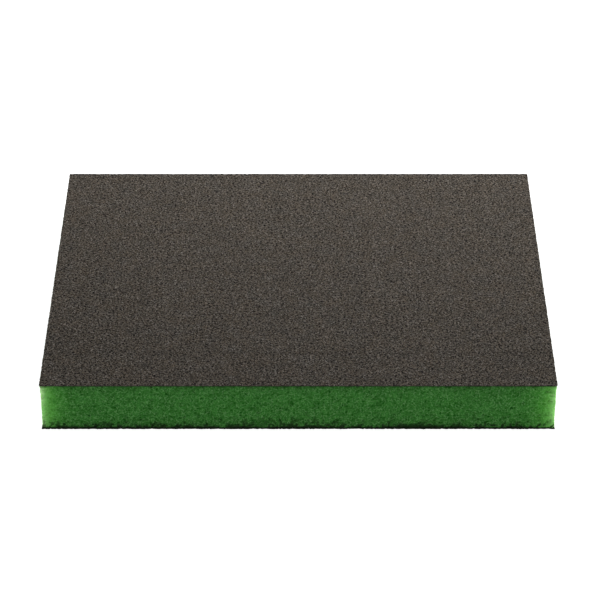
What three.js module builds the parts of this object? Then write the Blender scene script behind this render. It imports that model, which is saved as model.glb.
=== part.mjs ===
// A flat two-sided foam sanding block. A flexible foam slab carries an abrasive face above and
// below. Each face is two layers: a thin bond film that seals the foam's open cells, and the grit
// layer, which is mineral grain held in resin.
import * as THREE from "three";

// Driving dimensions, in millimetres. X runs along the long edge, Y across the block and Z up
// through its thickness. The origin is the centre of the lower working face.
const LENGTH = 123;
const WIDTH = 97;
const THICKNESS = 13;
const GRIT_DEPTH = 0.22;
const BOND_DEPTH = 0.1;

// The block is cut from a larger sheet, and its soft layers spring back behind the grit.
const BOND_SETBACK = 0.05;
const RIM_SETBACK = 0.08; // where the foam meets the bond film
const WAIST = 0.14; // how much further the foam pulls in at half its height
const WAIST_POWER = 3; // keeps most of the cut side nearly upright
const GRIT_CORNER = 0.3;
const FOAM_CORNER = 0.6;
const ARC_SEGMENTS = 4; // per quarter circle
const FOAM_STEPS = 12;

// Heights worked out from those.
const FOAM_BOTTOM = GRIT_DEPTH + BOND_DEPTH;
const FOAM_TOP = THICKNESS - FOAM_BOTTOM;
const FOAM_HEIGHT = FOAM_TOP - FOAM_BOTTOM;

const LOOKS = {
  foam: { color: 0x3c8434, roughness: 0.95, metalness: 0 },
  bond: { color: 0x2a2622, roughness: 0.6, metalness: 0 },
  grit: { color: 0x4b4640, roughness: 0.8, metalness: 0 },
};

// The plan of one layer: a rectangle with small round corners, set back from the block's outline.
function outline(setback, radius) {
  const right = LENGTH / 2 - setback;
  const back = WIDTH / 2 - setback;
  const shape = new THREE.Shape();
  shape.absarc(right - radius, back - radius, radius, 0, Math.PI / 2);
  shape.absarc(radius - right, back - radius, radius, Math.PI / 2, Math.PI);
  shape.absarc(radius - right, radius - back, radius, Math.PI, 1.5 * Math.PI);
  shape.absarc(right - radius, radius - back, radius, 1.5 * Math.PI, 2 * Math.PI);
  shape.closePath();
  return shape;
}

function slab(setback, radius, bottom, depth, steps = 1) {
  const geometry = new THREE.ExtrudeGeometry(outline(setback, radius), {
    depth,
    steps,
    curveSegments: ARC_SEGMENTS,
    bevelEnabled: false,
  });
  return geometry.translate(0, 0, bottom);
}

// The foam slab, with each cut side drawn in towards half its height.
function waistedSlab() {
  const geometry = slab(RIM_SETBACK, FOAM_CORNER, FOAM_BOTTOM, FOAM_HEIGHT, FOAM_STEPS);
  const position = geometry.getAttribute("position");
  for (let i = 0; i < position.count; i++) {
    const height = (position.getZ(i) - FOAM_BOTTOM) / FOAM_HEIGHT;
    const drawn = WAIST * (1 - Math.abs(2 * height - 1) ** WAIST_POWER);
    position.setX(i, position.getX(i) * (1 - drawn / (LENGTH / 2)));
    position.setY(i, position.getY(i) * (1 - drawn / (WIDTH / 2)));
  }
  geometry.computeVertexNormals();
  return geometry;
}

function piece(name, geometry, look) {
  const mesh = new THREE.Mesh(geometry, new THREE.MeshStandardMaterial(look));
  mesh.name = name;
  return mesh;
}

// One abrasive face: the bond film on the foam, and the grit layer outside it.
function abrasiveFace(side, bondBottom, gritBottom) {
  const face = new THREE.Group();
  const film = slab(BOND_SETBACK, GRIT_CORNER, bondBottom, BOND_DEPTH);
  const grit = slab(0, GRIT_CORNER, gritBottom, GRIT_DEPTH);
  face.add(piece(`${side}_bond_film`, film, LOOKS.bond));
  face.add(piece(`${side}_grit_layer`, grit, LOOKS.grit));
  return face;
}

const block = new THREE.Group();
block.name = "sanding_block";
block.add(piece("foam_core", waistedSlab(), LOOKS.foam));
block.add(abrasiveFace("upper", FOAM_TOP, THICKNESS - GRIT_DEPTH));
block.add(abrasiveFace("lower", GRIT_DEPTH, 0));

export default block;
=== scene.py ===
# A flat two-sided foam sanding block, lying on one of its two abrasive faces.
import math

import bpy
import numpy as np
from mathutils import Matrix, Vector


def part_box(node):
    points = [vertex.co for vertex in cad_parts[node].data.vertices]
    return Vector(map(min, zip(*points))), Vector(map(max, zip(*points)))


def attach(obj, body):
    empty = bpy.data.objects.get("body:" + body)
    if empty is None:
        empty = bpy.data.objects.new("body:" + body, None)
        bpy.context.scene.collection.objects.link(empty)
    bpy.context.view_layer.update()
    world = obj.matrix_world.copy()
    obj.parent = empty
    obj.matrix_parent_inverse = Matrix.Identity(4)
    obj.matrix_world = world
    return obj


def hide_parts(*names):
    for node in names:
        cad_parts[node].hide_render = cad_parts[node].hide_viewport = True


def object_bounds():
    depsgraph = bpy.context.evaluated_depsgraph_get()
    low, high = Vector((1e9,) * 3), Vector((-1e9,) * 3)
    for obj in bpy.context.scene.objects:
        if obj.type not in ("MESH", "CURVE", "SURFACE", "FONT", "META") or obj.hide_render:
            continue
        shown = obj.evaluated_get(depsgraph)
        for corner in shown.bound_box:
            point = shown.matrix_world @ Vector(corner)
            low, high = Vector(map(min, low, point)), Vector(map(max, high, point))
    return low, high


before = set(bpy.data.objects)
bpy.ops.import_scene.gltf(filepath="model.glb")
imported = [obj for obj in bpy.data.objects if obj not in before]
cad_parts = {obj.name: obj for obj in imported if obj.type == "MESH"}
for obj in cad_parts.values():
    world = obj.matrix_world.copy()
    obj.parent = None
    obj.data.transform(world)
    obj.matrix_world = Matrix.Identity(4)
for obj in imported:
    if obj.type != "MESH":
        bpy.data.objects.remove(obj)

CAD_LOW, CAD_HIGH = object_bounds()
MM = 0.001

# Camera: its height above the horizon, and where on the block's upper face it looks.
CAMERA_ELEVATION = math.radians(33.985)
CAMERA_DISTANCE = 625.8 * MM
CAMERA_AIM_X = 0.41 * MM
CAMERA_AIM_Y = -12.29 * MM
CAMERA_LENS = 151.0
CAMERA_NEAREST = 10 * MM

# Studio: a soft box behind the block, a low strip of light at each end of it, and a dim surround.
BACK_BOX_PLACE = (45 * MM, 175 * MM, 185 * MM)
BACK_BOX_SIZE = (400 * MM, 140 * MM)
BACK_BOX_WATTS = 0.74
STRIP_DISTANCE = 420 * MM
STRIP_HEIGHT = 18 * MM
STRIP_SIZE = (400 * MM, 30 * MM)
LEFT_STRIP_WATTS = 0.38
RIGHT_STRIP_WATTS = 0.56
SURROUND_LIGHT = 0.15
FLOOR_HALF = 3000 * MM
FLOOR_GLOW = 0.97

# Foam: a slab whose cut sides are a fine grid, drawn in towards half height and pitted with cells.
FOAM_SEED = 11
FOAM_STEP = 0.24 * MM
FOAM_CORNER = 0.6 * MM
RIM_TO_WAIST = 0.14 * MM
WAIST_POWER = 3
CELL_SIZE = 0.68 * MM
CELL_SCATTER = (0.1, 0.9)  # where a cell's centre may lie between its neighbours, in cell widths
CELL_SLOPE = 0.75  # in cell widths: a cell is at its full depth where its centre is nearest by this much
CELL_DEPTH = (0.03 * MM, 0.2 * MM)
DEEP_CELL_SHARE = 0.02
DEEP_CELL_DEPTH = 0.31 * MM
BLADE_WOBBLE = 0.018 * MM
BLADE_WOBBLE_LENGTHS = (9 * MM, 12 * FOAM_STEP)  # along the cut side, and up it
FLUFF = 0.03 * MM
FLUFF_LENGTHS = (1.6 * FOAM_STEP, 1.6 * FOAM_STEP)

# Resin that has soaked into the foam from each film, cell by cell, and further from the lower one, whose
# band is partly painted shade where the block lies on the floor. Painted shade also darkens the foam at its
# foot and just under the upper film.
LOWER_SOAK = 1.25 * MM
LOWER_SOAK_FADE = 2.6 * MM
UPPER_SOAK = 0.35 * MM
UPPER_SOAK_FADE = 0.9 * MM
UPPER_SOAK_SHARE = 0.6  # how strongly the upper resin shows, beside the lower
SOAK_SHORTFALL = 0.1 * MM  # taken off each cell's reach
SOAK_EDGE = 0.45 * MM  # the length over which the soaked part of a cell ends
SOAK_PATCHINESS = 0.35
PATCH_LENGTHS = (9 * FOAM_STEP, 9 * FOAM_STEP)
FOOT_BAND = 0.38 * MM  # the lowest foam is dark right through, partly resin and partly painted shade
# Painted shade at the foam's foot by the floor, and at its rim under the upper film's edge.
FOOT_SHADE = 0.42
FOOT_SHADE_LENGTH = 1.0 * MM
RIM_SHADE = 0.24
RIM_SHADE_LENGTH = 1.7 * MM

# Painted light: the thin foam at an upright corner is painted lighter, standing in for light that comes
# through it: how much, how soon that fades, and how uneven it is.
PAINTED_CORNER_GLOW = 0.9
PAINTED_CORNER_GLOW_LENGTH = 2.05 * MM
PAINTED_CORNER_GLOW_LIMIT = 0.8
PAINTED_CORNER_GLOW_PATCHINESS = 0.25  # the power of the resin's patchiness that it follows
LESS_PAINTED_GLOW_ON_ARRIS = 0.27  # the painted glow is weaker on the arris itself

# Grit: a sheet of facets about as large as the grains, below the height of the tallest ones.
GRIT_STEP = 0.362 * MM
GRIT_JITTER = 0.33  # in grid steps
GRIT_RELIEF = 0.14 * MM
GRIT_LEVEL = 0.55  # how high the sheet lies within its relief, from 0 to 1
GRIT_LEVEL_SPREAD = 0.22
GRAIN_EVENNESS = 0.38 * MM  # patches of more than about twice this are all alike
FACET_TONE = 0.5
FACET_CONTRAST = 0.42
GRIT_EDGE_WOBBLE = 0.08 * MM
GRIT_EDGE_BAND = 1 * MM  # rim points this near an end of the sheet are drawn in from that end

# A faint dark line across the upper face. Its place is measured in from the front edge.
COATING_LINE_INSET = 13.3 * MM
COATING_LINE_WIDTH = 0.65 * MM
COATING_LINE_DARKNESS = 0.125

# Film: the thin coat between foam and grit.
FILM_STEP = 0.3 * MM
FILM_CORNER = 0.3 * MM
FILM_ROWS = 3
FILM_WOBBLE = 0.035 * MM
FILM_WOBBLE_LENGTHS = (2, 1)  # in samples

# Each abrasive face: its side, which way its grains point, its seed, and how dark its cut edge is.
# The lower one lies on the bench, and its cut edge is darker still with painted shade.
ABRASIVE_FACES = (("upper", 1, 21, 0.55), ("lower", -1, 31, 1.0))


# ---------------------------------------------------------------- numbers

def slow_waves(shape, lengths):
    """A weight for each wave over a grid: 1 if far longer than lengths, in samples, and 0 if far shorter."""
    along, across = (np.exp(-2 * (np.pi * np.fft.fftfreq(size) * length) ** 2)
                     for size, length in zip(shape, lengths))
    return along[:, None] * across[None, :]


def noise_of(rng, kept):
    """Noise of unit spread over a grid that wraps round, with as much of each wave as kept says."""
    field = np.fft.ifft2(np.fft.fft2(rng.normal(size=kept.shape)) * kept).real
    return (field - field.mean()) / field.std()


def smooth_noise(rng, shape, lengths):
    """Noise with features of lengths in samples."""
    return noise_of(rng, slow_waves(shape, [length / 2 for length in lengths]))


def even_noise(rng, shape, lengths):
    """Noise with its slow part taken out, as even as sieved grains on glue."""
    return noise_of(rng, 1 - slow_waves(shape, lengths))


def perimeter(half_x, half_y, radius, step):
    """Points round a rounded rectangle, evenly spaced, and the outward direction at each."""
    corner_points = 17
    drawn = []
    for quarter in range(4):
        centre_x = (half_x - radius) * (1 if quarter in (0, 3) else -1)
        centre_y = (half_y - radius) * (1 if quarter in (0, 1) else -1)
        for angle in np.linspace(quarter, quarter + 1, corner_points) * math.pi / 2:
            drawn.append((centre_x + radius * math.cos(angle), centre_y + radius * math.sin(angle)))
    loop = np.array(drawn + drawn[:1])
    along = np.concatenate(([0], np.cumsum(np.hypot(*np.diff(loop, axis=0).T))))
    count = round(along[-1] / step)
    places = np.arange(count) * along[-1] / count
    points = np.stack([np.interp(places, along, loop[:, axis]) for axis in (0, 1)], axis=1)
    ahead = np.roll(points, -1, axis=0) - np.roll(points, 1, axis=0)
    ahead /= np.linalg.norm(ahead, axis=1)[:, None]
    return points, np.stack([ahead[:, 1], -ahead[:, 0]], axis=1)


def cells(rng, columns, rows, size):
    """Cells scattered over a band of columns by rows samples that wraps round its columns.

    size is a cell's width in samples. Returns the distances to the nearest and the second nearest
    cell centre, in cell widths, the number of the nearest cell, and how many cells there are.
    """
    reach = 2
    wide = round(columns / size)
    tall = math.ceil(rows / size) + 2 * reach
    centre_u = np.arange(wide)[:, None] + rng.uniform(*CELL_SCATTER, (wide, tall))
    centre_v = np.arange(tall)[None, :] + rng.uniform(*CELL_SCATTER, (wide, tall))
    u, v = np.meshgrid(np.arange(columns) * wide / columns, np.arange(rows) / size + reach, indexing="ij")
    home_u, home_v = np.floor(u).astype(int), np.floor(v).astype(int)
    nearest = np.full(u.shape, np.inf)
    second = np.full(u.shape, np.inf)
    number = np.zeros(u.shape, int)
    for du in range(-reach, reach + 1):
        for dv in range(-reach, reach + 1):
            iu = home_u + du
            iv = np.clip(home_v + dv, 0, tall - 1)
            wrapped = iu % wide
            gap_u = centre_u[wrapped, iv] + (iu - wrapped) - u
            gap_v = centre_v[wrapped, iv] - v
            distance = np.hypot(gap_u, gap_v)
            closer = distance < nearest
            second = np.where(closer, nearest, np.minimum(second, distance))
            number = np.where(closer, wrapped * tall + iv, number)
            nearest = np.where(closer, distance, nearest)
    return nearest, second, number, wide * tall


# ---------------------------------------------------------------- meshes

def link(thing):
    bpy.context.scene.collection.objects.link(thing)
    return thing


def mesh_object(name, points, faces):
    mesh = bpy.data.meshes.new(name)
    mesh.from_pydata(points.tolist(), [], faces)
    mesh.validate()
    mesh.update()
    return link(bpy.data.objects.new(name, mesh))


def store(piece, name, values, domain="POINT"):
    """Keeps one number per point or face, for the material to read."""
    attribute = piece.data.attributes.new(name, "FLOAT", domain)
    attribute.data.foreach_set("value", np.asarray(values, np.float32).ravel())


def smooth_slab(name, outline, outward, inward, heights):
    """A closed slab. inward, columns by rows, is how far its outline is drawn in at each of its heights."""
    columns, rows = inward.shape
    points = np.empty((columns, rows, 3))
    points[:, :, :2] = outline[:, None, :] - outward[:, None, :] * inward[:, :, None]
    points[:, :, 2] = heights
    starts = [column * rows for column in range(columns)]
    faces = [(a + row, b + row, b + row + 1, a + row + 1)
             for a, b in zip(starts, starts[1:] + starts[:1]) for row in range(rows - 1)]
    faces.append(starts[::-1])
    faces.append([start + rows - 1 for start in starts])
    piece = mesh_object(name, points.reshape(-1, 3), faces)
    for polygon in piece.data.polygons:
        polygon.use_smooth = True
    return piece


def soak(reach, depth, fade):
    """How much of a film's bond has seeped into the foam at each depth from it, where it got in as far as
    reach.
    """
    return np.clip((reach - depth) / SOAK_EDGE + 0.5, 0, 1) * np.exp(-depth / fade)


def darkened(resin_and_shade, amount, depth, length):
    """The darkness given, with an even painted shade over it: amount where there is no depth, fading over a
    length.
    """
    return 1 - (1 - resin_and_shade) * (1 - amount * np.exp(-depth / length))


def build_foam():
    rng = np.random.default_rng(FOAM_SEED)
    low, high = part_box("foam_core")
    thickness = high[2] - low[2]
    outline, outward = perimeter(high[0], high[1], FOAM_CORNER, FOAM_STEP)
    grid = (len(outline), round(thickness / FOAM_STEP) + 1)
    height = np.linspace(0, 1, grid[1])

    def uneven(lengths):
        return smooth_noise(rng, grid, [length / FOAM_STEP for length in lengths])

    nearest, second, cell, count = cells(rng, *grid, CELL_SIZE / FOAM_STEP)
    deepest = rng.uniform(*CELL_DEPTH, count)
    deepest[rng.random(count) < DEEP_CELL_SHARE] = DEEP_CELL_DEPTH
    hollow = np.clip((second - nearest) / CELL_SLOPE, 0, 1)
    hollow = hollow * hollow * (3 - 2 * hollow)  # rounds the cell's lip and floor
    cell_depth = deepest[cell] * hollow
    waist = RIM_TO_WAIST * (1 - np.abs(2 * height - 1) ** WAIST_POWER)
    blade = BLADE_WOBBLE * uneven(BLADE_WOBBLE_LENGTHS)
    fluff = FLUFF * uneven(FLUFF_LENGTHS)
    inward = np.maximum(waist + cell_depth + blade + fluff, 0)
    piece = smooth_slab("foam_slab", outline, outward, inward, low[2] + thickness * height)
    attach(piece, "root")
    # How deep each point lies in its cell, which the material paints as shade.
    store(piece, "pore_shade", np.clip(cell_depth / DEEP_CELL_DEPTH, 0, 1))

    patchy = np.exp(SOAK_PATCHINESS * uneven(PATCH_LENGTHS))
    lower_reach = np.maximum(rng.exponential(LOWER_SOAK, count) - SOAK_SHORTFALL, FOOT_BAND)[cell] * patchy
    upper_reach = (rng.exponential(UPPER_SOAK, count) - SOAK_SHORTFALL)[cell] * patchy
    rise = height * thickness
    fall = (1 - height) * thickness
    lower = soak(lower_reach, rise, LOWER_SOAK_FADE)
    upper = soak(upper_reach, fall, UPPER_SOAK_FADE)
    resin_and_shade = np.maximum(lower, UPPER_SOAK_SHARE * upper)
    # Painted shade: the foam is darkened just under the upper film and at its foot on the floor.
    resin_and_shade = darkened(resin_and_shade, RIM_SHADE, fall, RIM_SHADE_LENGTH)
    resin_and_shade = darkened(resin_and_shade, FOOT_SHADE, rise, FOOT_SHADE_LENGTH)
    store(piece, "resin_and_shade", resin_and_shade)
    store(piece, "tone", rng.uniform(0, 1, count)[cell])

    # Painted light: near its upright corners the foam's colour is made lighter, on both faces that meet
    # there, standing in for light that comes through the thin foam.
    inset = np.maximum(high[0] - np.abs(outline[:, 0]), high[1] - np.abs(outline[:, 1]))
    arris = 2 * np.abs(outward[:, 0] * outward[:, 1])
    painted_glow = PAINTED_CORNER_GLOW * np.exp(-inset / PAINTED_CORNER_GLOW_LENGTH) * (1 - LESS_PAINTED_GLOW_ON_ARRIS * arris)
    painted_glow = painted_glow[:, None] * patchy ** PAINTED_CORNER_GLOW_PATCHINESS
    store(piece, "painted_glow", np.minimum(painted_glow, PAINTED_CORNER_GLOW_LIMIT))
    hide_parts("foam_core")
    return piece


def grit_points(rng, low, high):
    """The x and y of a grid of points, jittered inside the sheet and drawn in unevenly at its rim."""
    spans = [np.linspace(low[axis], high[axis], round((high[axis] - low[axis]) / GRIT_STEP) + 1)
             for axis in (0, 1)]
    grid = np.stack(np.meshgrid(*spans, indexing="ij"))
    inside = np.zeros(grid.shape[1:], bool)
    inside[1:-1, 1:-1] = True
    jittered = grid + rng.uniform(-1, 1, grid.shape) * GRIT_JITTER * GRIT_STEP
    rough_edge = np.abs(rng.normal(size=inside.shape)) * GRIT_EDGE_WOBBLE
    near_end = np.abs(grid) > np.reshape(high[:2], (2, 1, 1)) - GRIT_EDGE_BAND
    return np.where(inside, jittered, grid - np.sign(grid) * rough_edge * near_end)


def split_squares(rng, index):
    """Two triangles for each square of a grid of point numbers, cut along either diagonal."""
    a, b = index[:-1, :-1].ravel(), index[1:, :-1].ravel()
    c, d = index[1:, 1:].ravel(), index[:-1, 1:].ravel()
    forward = rng.random(len(a))[:, None] < 0.5
    one = np.where(forward, np.stack([a, b, c], 1), np.stack([a, b, d], 1))
    two = np.where(forward, np.stack([a, c, d], 1), np.stack([b, c, d], 1))
    return np.concatenate([one, two])


def close_sheet(sheet, index, back_z):
    """The points of a flat back under a sheet's rim, the walls down to them, and the back itself."""
    rim = np.concatenate([index[:-1, 0], index[-1, :-1], index[:0:-1, -1], index[0, :0:-1]])
    base = sheet[rim]
    base[:, 2] = back_z
    under = len(sheet) + np.arange(len(rim))
    walls = np.stack([rim, under, np.roll(under, -1), np.roll(rim, -1)], axis=1)
    return base, walls, under[::-1]


def build_grit(node, outside, seed, cut_dark_and_shade):
    """One grit layer. outside is +1 where its grains point up, and -1 where they point down."""
    rng = np.random.default_rng(seed)
    low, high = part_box(node)
    face_z, back_z = (high[2], low[2]) if outside > 0 else (low[2], high[2])
    x, y = grit_points(rng, low, high)
    columns, rows = x.shape
    spread = GRAIN_EVENNESS / GRIT_STEP
    level = GRIT_LEVEL + GRIT_LEVEL_SPREAD * even_noise(rng, x.shape, (spread, spread))
    z = face_z - outside * GRIT_RELIEF * (1 - np.clip(level, 0, 1))

    sheet = np.stack([x, y, z], axis=2).reshape(-1, 3)
    index = np.arange(len(sheet)).reshape(columns, rows)
    facets = split_squares(rng, index)
    base, walls, backing = close_sheet(sheet, index, back_z)
    if outside < 0:
        facets, walls, backing = facets[:, ::-1], walls[:, ::-1], backing[::-1]
    faces = facets.tolist() + walls.tolist() + [backing.tolist()]
    piece = mesh_object(node.replace("layer", "face"), np.concatenate([sheet, base]), faces)
    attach(piece, "root")

    # Each square of the grid has two tones side by side, one for each of its facets.
    plain = len(walls) + 1
    tone = even_noise(rng, (columns - 1, 2 * (rows - 1)), (spread, 2 * spread))
    tone = FACET_TONE + FACET_CONTRAST * np.concatenate([tone[:, 0::2].ravel(), tone[:, 1::2].ravel()])
    store(piece, "facet", np.concatenate([np.clip(tone, 0, 1), np.full(plain, FACET_TONE)]), "FACE")
    line = np.zeros(len(facets))
    if outside > 0:
        from_line = (sheet[facets, 1].mean(axis=1) - low[1] - COATING_LINE_INSET) / COATING_LINE_WIDTH
        line = COATING_LINE_DARKNESS * np.exp(-from_line ** 2)
    # The cut walls and back are darker, the lower face's much more with painted shade; the upper face also
    # has the faint line.
    store(piece, "cut", np.concatenate([line, np.full(plain, cut_dark_and_shade)]), "FACE")
    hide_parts(node)
    return piece


def build_film(node, seed):
    rng = np.random.default_rng(seed)
    low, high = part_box(node)
    outline, outward = perimeter(high[0], high[1], FILM_CORNER, FILM_STEP)
    wobble = smooth_noise(rng, (len(outline), FILM_ROWS), FILM_WOBBLE_LENGTHS)
    heights = np.linspace(low[2], high[2], FILM_ROWS)
    inward = np.abs(wobble) * FILM_WOBBLE
    piece = smooth_slab(node.replace("film", "coat"), outline, outward, inward, heights)
    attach(piece, "root")
    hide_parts(node)
    return piece


# ---------------------------------------------------------------- materials

class Shader:
    """A material and short ways to add nodes to it."""

    def __init__(self, name):
        self.material = bpy.data.materials.new(name)
        self.material.use_nodes = True
        self.tree = self.material.node_tree
        self.surface = self.tree.nodes["Principled BSDF"]
        self.place = self.add("ShaderNodeTexCoord").outputs["Object"]

    def fill(self, socket, value):
        """Links another node's output to a socket, or gives the socket a value of its own."""
        if isinstance(value, bpy.types.NodeSocket):
            self.tree.links.new(value, socket)
        else:
            socket.default_value = value

    def add(self, kind, inputs=(), **settings):
        made = self.tree.nodes.new(kind)
        for key, value in settings.items():
            setattr(made, key, value)
        for key, value in dict(inputs).items():
            self.fill(made.inputs[key], value)
        return made

    def set(self, **inputs):
        for key, value in inputs.items():
            name = key.replace("_", " ").title().replace("Ior", "IOR")
            self.fill(self.surface.inputs[name], value)

    def attribute(self, name):
        return self.add("ShaderNodeAttribute", attribute_name=name).outputs["Fac"]

    def noise(self, size, detail=2.0, roughness=0.5):
        inputs = {"Vector": self.place, "Scale": 1 / size, "Detail": detail, "Roughness": roughness}
        return self.add("ShaderNodeTexNoise", inputs).outputs["Fac"]

    def bent_place(self, size, amount):
        """The place, pushed about by noise so that cells drawn there aren't regular."""
        push = self.add("ShaderNodeTexNoise", {"Vector": self.place, "Scale": 1 / size}).outputs["Color"]
        inputs = {0: push, 1: (amount,) * 3, 2: self.place}
        return self.add("ShaderNodeVectorMath", inputs, operation="MULTIPLY_ADD").outputs[0]

    def voronoi(self, size, output="Distance", feature="F1", place=None):
        inputs = {"Vector": place or self.place, "Scale": 1 / size}
        return self.add("ShaderNodeTexVoronoi", inputs, feature=feature).outputs[output]

    def maths(self, operation, first, second, third=0.0):
        inputs = {0: first, 1: second, 2: third}
        return self.add("ShaderNodeMath", inputs, operation=operation).outputs[0]

    def total(self, *terms):
        """The sum of values, each with its weight."""
        value = 0.0
        for term, weight in terms:
            value = self.maths("MULTIPLY_ADD", term, weight, value)
        return value

    def grey(self, value):
        return self.add("ShaderNodeCombineColor", {0: value, 1: value, 2: value}).outputs[0]

    def span(self, value, low, high, to_low=0.0, to_high=1.0):
        """Maps low to high onto to_low to to_high, and holds it within them."""
        inputs = {0: value, 1: low, 2: high, 3: to_low, 4: to_high}
        return self.add("ShaderNodeMapRange", inputs).outputs[0]

    def mix(self, factor, first, second, blend="MIX"):
        inputs = {0: factor, 6: first, 7: second}
        return self.add("ShaderNodeMix", inputs, data_type="RGBA", blend_type=blend).outputs[2]

    def tinted(self, colour, tint):
        return self.mix(1.0, colour, tint, "MULTIPLY")

    def bump(self, height, distance):
        return self.add("ShaderNodeBump", {"Height": height, "Distance": distance}).outputs["Normal"]


def foam_material():
    shader = Shader("green_foam")
    strut = (0.075, 0.281, 0.0545, 1)
    pore_shade = (0.005, 0.074, 0.003, 1)
    strand_highlight = (0.19, 0.43, 0.15, 1)
    resin_and_shade_colour = (0.005, 0.008, 0.004, 1)
    painted_glow_far = (0.216, 0.85, 0.1, 1)
    painted_glow_near = (0.83, 0.93, 0.64, 1)

    # Painted shade: the colour goes dark down in the modelled cells and in finer ones, and each modelled
    # cell has its own tone.
    bent = shader.bent_place(size=0.9 * MM, amount=0.5 * MM)
    fine = shader.span(shader.voronoi(size=0.42 * MM, place=bent), 0.1, 0.62)
    dark = shader.total((fine, 0.38), (shader.attribute("pore_shade"), 0.8), (shader.attribute("tone"), 0.36))
    colour = shader.mix(shader.maths("MINIMUM", dark, 1.0), strut, pore_shade)

    # Here and there a paler strand runs between cells, a painted highlight, and the whole varies a little in
    # patches.
    wall = shader.voronoi(size=0.66 * MM, feature="DISTANCE_TO_EDGE", place=bent)
    lit = shader.span(shader.noise(size=0.55 * MM, detail=1), 0.42, 0.6)
    strand_highlight_mask = shader.maths("MULTIPLY", shader.span(wall, 0.03, 0.13, 1.0, 0.0), lit)
    colour = shader.mix(shader.maths("MULTIPLY", strand_highlight_mask, 0.5), colour, strand_highlight)
    patches = shader.span(shader.noise(size=3.5 * MM, detail=3), 0.3, 0.7, 0.96, 1.04)
    colour = shader.tinted(colour, shader.grey(patches))

    # Painted light near a corner: the foam's colour turns bright green and then pale, with its cells still
    # showing.
    painted_glow = shader.attribute("painted_glow")
    painted_glow_colour = shader.mix(shader.maths("MULTIPLY", painted_glow, painted_glow), painted_glow_far, painted_glow_near)
    cell_shade = shader.grey(shader.span(dark, 0.1, 0.9, 1.22, 0.84))
    colour = shader.mix(painted_glow, colour, shader.tinted(painted_glow_colour, cell_shade))
    # Resin near each film, and painted shade under the upper film and at the foot, darken the foam.
    colour = shader.mix(shader.attribute("resin_and_shade"), colour, resin_and_shade_colour)
    normal = shader.bump(fine, distance=-0.08 * MM)
    shader.set(base_color=colour, roughness=0.95, normal=normal, specular_ior_level=0.05)
    shader.set(subsurface_weight=1.0, subsurface_radius=(1.2, 1.7, 1.1), subsurface_scale=MM)
    return shader.material


def grit_material():
    shader = Shader("grit")
    dark = (0.004, 0.0035, 0.003, 1)
    light = (0.166, 0.143, 0.118, 1)
    painted_glint = (0.33, 0.29, 0.25, 1)
    cool_grain = (0.94, 0.99, 1.05, 1)
    warm_grain = (1.08, 1.0, 0.9, 1)
    warm_patch = (1.03, 1, 0.96, 1)
    cool_patch = (0.97, 1, 1.04, 1)

    # Most of a grain's tone is its facet's. Three random numbers give it the rest, its tint and, for a few,
    # a painted glint in the colour and a smoother surface.
    grain = shader.add("ShaderNodeSeparateColor", {0: shader.voronoi(size=0.22 * MM, output="Color")})
    pick = shader.total((shader.attribute("facet"), 0.7), (grain.outputs[0], 0.3))
    colour = shader.mix(shader.span(pick, 0.23, 0.85), dark, light)
    colour = shader.tinted(colour, shader.mix(grain.outputs[1], cool_grain, warm_grain))
    patches = shader.span(shader.noise(size=4 * MM), 0.3, 0.7)
    colour = shader.tinted(colour, shader.mix(patches, warm_patch, cool_patch))
    gloss_and_painted_glint = shader.span(grain.outputs[2], 0.955, 0.965)
    colour = shader.mix(shader.maths("MULTIPLY", gloss_and_painted_glint, 0.7), colour, painted_glint)
    # The cut walls and the faint line are darker; on the lower face the walls' extra darkness is painted
    # shade.
    colour = shader.mix(shader.attribute("cut"), colour, dark)
    rough = shader.span(gloss_and_painted_glint, 0, 1, 0.8, 0.4)
    normal = shader.bump(shader.noise(size=0.16 * MM, detail=3, roughness=0.6), distance=0.05 * MM)
    shader.set(base_color=colour, roughness=rough, normal=normal, specular_ior_level=0.1)
    return shader.material


def film_material():
    shader = Shader("bond_resin")
    dark = (0.011, 0.016, 0.008, 1)
    light = (0.028, 0.04, 0.02, 1)
    spots = shader.span(shader.noise(size=0.5 * MM), 0.35, 0.65)
    colour = shader.mix(spots, dark, light)
    rough = shader.span(spots, 0, 1, 0.5, 0.75)
    normal = shader.bump(shader.noise(size=0.3 * MM), distance=0.03 * MM)
    shader.set(base_color=colour, roughness=rough, normal=normal, specular_ior_level=0.1)
    return shader.material


# ---------------------------------------------------------------- studio

def build_floor():
    half = FLOOR_HALF
    corners = np.array([(-half, -half, 0), (half, -half, 0), (half, half, 0), (-half, half, 0)])
    floor = mesh_object("floor", corners, [(0, 1, 2, 3)])
    shader = Shader("pale_floor")
    shader.set(base_color=(0.5, 0.5, 0.5, 1), roughness=0.9, specular_ior_level=0.1)
    shader.set(emission_color=(1, 1, 1, 1), emission_strength=FLOOR_GLOW)
    floor.data.materials.append(shader.material)


def aim(thing, target):
    direction = Vector(target) - thing.location
    thing.rotation_euler = direction.to_track_quat("-Z", "Y").to_euler()


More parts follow.
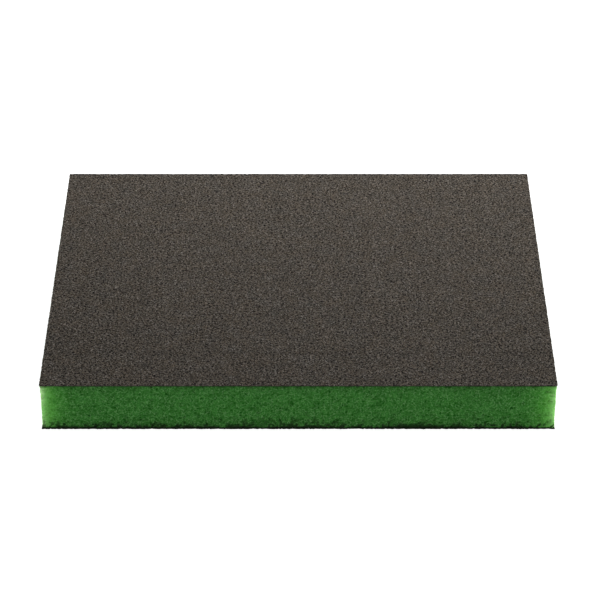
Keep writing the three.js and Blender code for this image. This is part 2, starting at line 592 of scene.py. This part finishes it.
def softbox(name, place, size, watts):
    light = bpy.data.lights.new(name, "AREA")
    light.shape = "RECTANGLE"
    light.size, light.size_y = size
    light.energy = watts
    lamp = link(bpy.data.objects.new(name, light))
    lamp.location = place
    lamp.visible_camera = False
    aim(lamp, (0, 0, CAD_HIGH[2] / 2))


def build_world():
    """A dim surround for light, which the camera sees as white as the floor."""
    world = bpy.data.worlds.new("studio")
    world.use_nodes = True
    tree = world.node_tree
    seen = tree.nodes.new("ShaderNodeLightPath").outputs["Is Camera Ray"]
    strength = tree.nodes.new("ShaderNodeMapRange")
    strength.inputs["To Min"].default_value = SURROUND_LIGHT
    strength.inputs["To Max"].default_value = 1.0
    tree.links.new(seen, strength.inputs["Value"])
    tree.links.new(strength.outputs[0], tree.nodes["Background"].inputs["Strength"])
    tree.nodes["Background"].inputs["Color"].default_value = (1, 1, 1, 1)
    return world


def build_lights():
    softbox("back_box", BACK_BOX_PLACE, BACK_BOX_SIZE, BACK_BOX_WATTS)
    softbox("left_strip", (-STRIP_DISTANCE, 0, STRIP_HEIGHT), STRIP_SIZE, LEFT_STRIP_WATTS)
    softbox("right_strip", (STRIP_DISTANCE, 0, STRIP_HEIGHT), STRIP_SIZE, RIGHT_STRIP_WATTS)
    bpy.context.scene.world = build_world()
    bpy.context.scene.view_settings.view_transform = "Standard"


def build_camera():
    camera = link(bpy.data.objects.new("camera", bpy.data.cameras.new("camera")))
    camera.data.lens = CAMERA_LENS
    camera.data.clip_start = CAMERA_NEAREST
    target = Vector((CAMERA_AIM_X, CAMERA_AIM_Y, CAD_HIGH[2]))
    back = Vector((0, -math.cos(CAMERA_ELEVATION), math.sin(CAMERA_ELEVATION)))
    camera.location = target + back * CAMERA_DISTANCE
    aim(camera, target)
    bpy.context.scene.camera = camera


build_camera()
build_floor()
build_lights()

foam = build_foam()
foam.data.materials.append(foam_material())
grit = grit_material()
film = film_material()
for side, outside, seed, cut_dark_and_shade in ABRASIVE_FACES:
    build_grit(f"{side}_grit_layer", outside, seed, cut_dark_and_shade).data.materials.append(grit)
    build_film(f"{side}_bond_film", seed + 1).data.materials.append(film)
